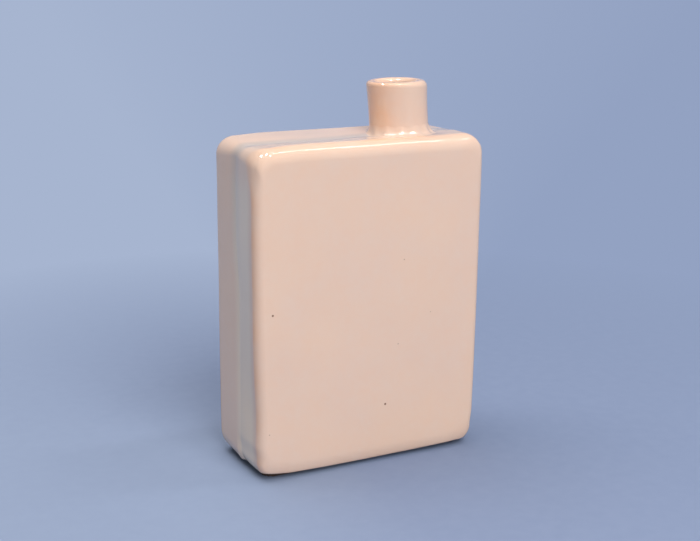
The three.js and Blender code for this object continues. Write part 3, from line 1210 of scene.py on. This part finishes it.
# %% The floor
FLOOR_RADIUS = 7.0
FLOOR_SIDES = 96
BACKDROP = paint(153, 167, 196)
# The left and right colours paint light: paper and backdrop are lighter on the left, darker on the
# right.
BACKDROP_PAINTED_LIGHT_LEFT = paint(167, 181, 208)
BACKDROP_PAINTED_SHADE_RIGHT = paint(147, 162, 194)
PAPER_PAINTED_LIGHT_LEFT = paint(138, 153, 182)
PAPER_PAINTED_SHADE_RIGHT = paint(128, 143, 175)
PAPER_PAINTED_LIGHT_TURN = (-0.9, -0.1)
BACKDROP_PAINTED_LIGHT_TURN = (0.2, 0.7)
FADE_RANGE = (110 * MM, 360 * MM)
FIBRE_SPAN = 6 * MM
FIBRE_SHARE = 0.06
PAPER_DULL = {"Roughness": 0.9, "Specular IOR Level": 0.2}


def seen_directly(tree):
    """1 for what the camera sees, straight or in the glaze, and 0 for light on its way."""
    ray = add_node(tree, "ShaderNodeLightPath").outputs
    return calc(tree, "MAXIMUM", ray["Is Camera Ray"], ray["Is Glossy Ray"])


def blend(tree, first, second, share):
    """Puts a mix of two shaders where the first one led."""
    surface = first.outputs[0].links[0].to_socket
    inputs = {0: share, 1: first.outputs[0], 2: second.outputs[0]}
    tree.links.new(add_node(tree, "ShaderNodeMixShader", inputs).outputs[0], surface)


def floor_finish():
    """Plain pale paper that runs into a backdrop away from the vase, both painted lighter on the left.
    """
    material = bpy.data.materials.new("pale_paper")
    tree, shader, place = start_finish(material)
    fibres = patchy(tree, place, FIBRE_SPAN, 4, 0.0, FIBRE_SHARE)
    heading = add_node(tree, "ShaderNodeVectorMath", {0: place}, operation="NORMALIZE").outputs[0]
    aside = add_node(tree, "ShaderNodeSeparateXYZ", {0: heading}).outputs["X"]
    # The paper's colour turns from left to right as painted light.
    colour = tint(tree, ramp(tree, aside, *PAPER_PAINTED_LIGHT_TURN), PAPER_PAINTED_LIGHT_LEFT, PAPER_PAINTED_SHADE_RIGHT)
    colour = tint(tree, fibres, colour, BACKDROP_PAINTED_LIGHT_LEFT)
    feed(tree, shader, {"Base Color": colour, **PAPER_DULL})
    away = add_node(tree, "ShaderNodeVectorMath", {0: place}, operation="LENGTH").outputs["Value"]
    far = calc(tree, "MULTIPLY", ramp(tree, away, *FADE_RANGE), seen_directly(tree))
    # The backdrop turns from left to right as painted light too.
    shade = tint(tree, ramp(tree, aside, *BACKDROP_PAINTED_LIGHT_TURN), BACKDROP_PAINTED_LIGHT_LEFT, BACKDROP_PAINTED_SHADE_RIGHT)
    blend(tree, shader, add_node(tree, "ShaderNodeEmission", {"Color": shade}), far)
    return material


floor_size = {"segments": FLOOR_SIDES, "radius": FLOOR_RADIUS}
floor = plain_object("floor", bmesh.ops.create_circle, **floor_size)
floor.data.materials.append(floor_finish())

# %% The lamps
AIM = Vector((0, 0, TOP / 2))
LAMP_TINT = paint(255, 251, 246)


def towards(azimuth, elevation):
    """Direction from the vase: azimuth 0 is in front of its face, 90 is on its right."""
    turn, lift = math.radians(azimuth), math.radians(elevation)
    level = math.cos(lift)
    return Vector((math.sin(turn) * level, -math.cos(turn) * level, math.sin(lift)))


def soft_box(name, azimuth, elevation, distance, width, height, share, mirrored=True, lights=True):
    """Area lamp whose share is the part of full white that it adds to a surface facing it."""
    lamp = bpy.data.lights.new(name, "AREA")
    lamp.shape = "RECTANGLE"
    lamp.size = width
    lamp.size_y = height
    lamp.energy = share * (math.pi * distance) ** 2
    lamp.color = LAMP_TINT[:3]
    holder = add_object(name, lamp)
    back = towards(azimuth, elevation)
    across = Vector((0, 0, 1)).cross(back).cross(back) if width == height else Vector((1, 0, 0))
    across = (across - back * across.dot(back)).normalized()
    upright = back.cross(across)
    turn = Matrix((across, upright, back)).transposed().to_4x4()
    holder.matrix_world = Matrix.Translation(AIM + back * distance) @ turn
    holder.visible_glossy = mirrored
    holder.visible_diffuse = lights


# Azimuth and elevation in degrees, then distance, width and height in metres, and share
soft_box("broad_box", -4, 36, 1.6, 1.0, 1.6, 1.0, mirrored=False)
soft_box("top_box", -150, 72, 1.6, 1.2, 1.2, 0.6, mirrored=False)
soft_box("long_box_right", 68.7, 66.3, 1.3, 0.43, 0.08, 0.12)
for side, azimuth, elevation in (("front", 9, 67), ("left", -86, 79), ("back", -118, 60)):
    soft_box("high_box_" + side, azimuth, elevation, 1.3, 0.14, 0.14, 0.7, lights=False)

# %% The sky
SKY_STRENGTH = 0.24
SKY_TINT = paint(246, 248, 250)

world = bpy.data.worlds.new("pale_sky")
world.use_nodes = True
sky_tree = world.node_tree
sky = sky_tree.nodes["Background"]
feed(sky_tree, sky, {"Color": SKY_TINT, "Strength": SKY_STRENGTH})
behind = add_node(sky_tree, "ShaderNodeBackground", {"Color": BACKDROP, "Strength": 1.0})
blend(sky_tree, sky, behind, seen_directly(sky_tree))
bpy.context.scene.world = world
bpy.context.scene.view_settings.view_transform = "Standard"

# %% [markdown]
# ## The camera
# The camera stands where the picture was taken from: a little left of the face and above it. The
# angles, the distance and the focal length come from fitting a pinhole camera to the outline of the
# body, in a frame of 700 by 541 pixels.

# %% Setting the camera
IMAGE_WIDTH = 700
IMAGE_HEIGHT = 541
FOCAL_PIXELS = 1216.4
SENSOR_WIDTH = 36.0
VIEW_AZIMUTH = -27.38
VIEW_ELEVATION = 14.45
VIEW_ROLL = math.radians(0.566)
VIEW_DISTANCE = 0.4917
CENTRE_PIXEL = (349.34, 294.46)

lens = bpy.data.cameras.new("camera")
lens.sensor_fit = "HORIZONTAL"
lens.sensor_width = SENSOR_WIDTH
lens.lens = FOCAL_PIXELS / IMAGE_WIDTH * SENSOR_WIDTH
lens.clip_start = 10 * MM
backwards = towards(VIEW_AZIMUTH, VIEW_ELEVATION)
level_right = Vector((0, 0, 1)).cross(backwards).normalized()
level_up = backwards.cross(level_right)
right = level_right * math.cos(VIEW_ROLL) + level_up * math.sin(VIEW_ROLL)
upwards = level_up * math.cos(VIEW_ROLL) - level_right * math.sin(VIEW_ROLL)
aside = (CENTRE_PIXEL[0] - IMAGE_WIDTH / 2) / FOCAL_PIXELS
below = (CENTRE_PIXEL[1] - IMAGE_HEIGHT / 2) / FOCAL_PIXELS
stand = AIM + VIEW_DISTANCE * (backwards - right * aside + upwards * below)

camera = add_object("camera", lens)
view_turn = Matrix((right, upwards, backwards)).transposed().to_4x4()
camera.matrix_world = Matrix.Translation(stand) @ view_turn
bpy.context.scene.camera = camera
print("camera at mm:", [round(value / MM, 1) for value in stand])
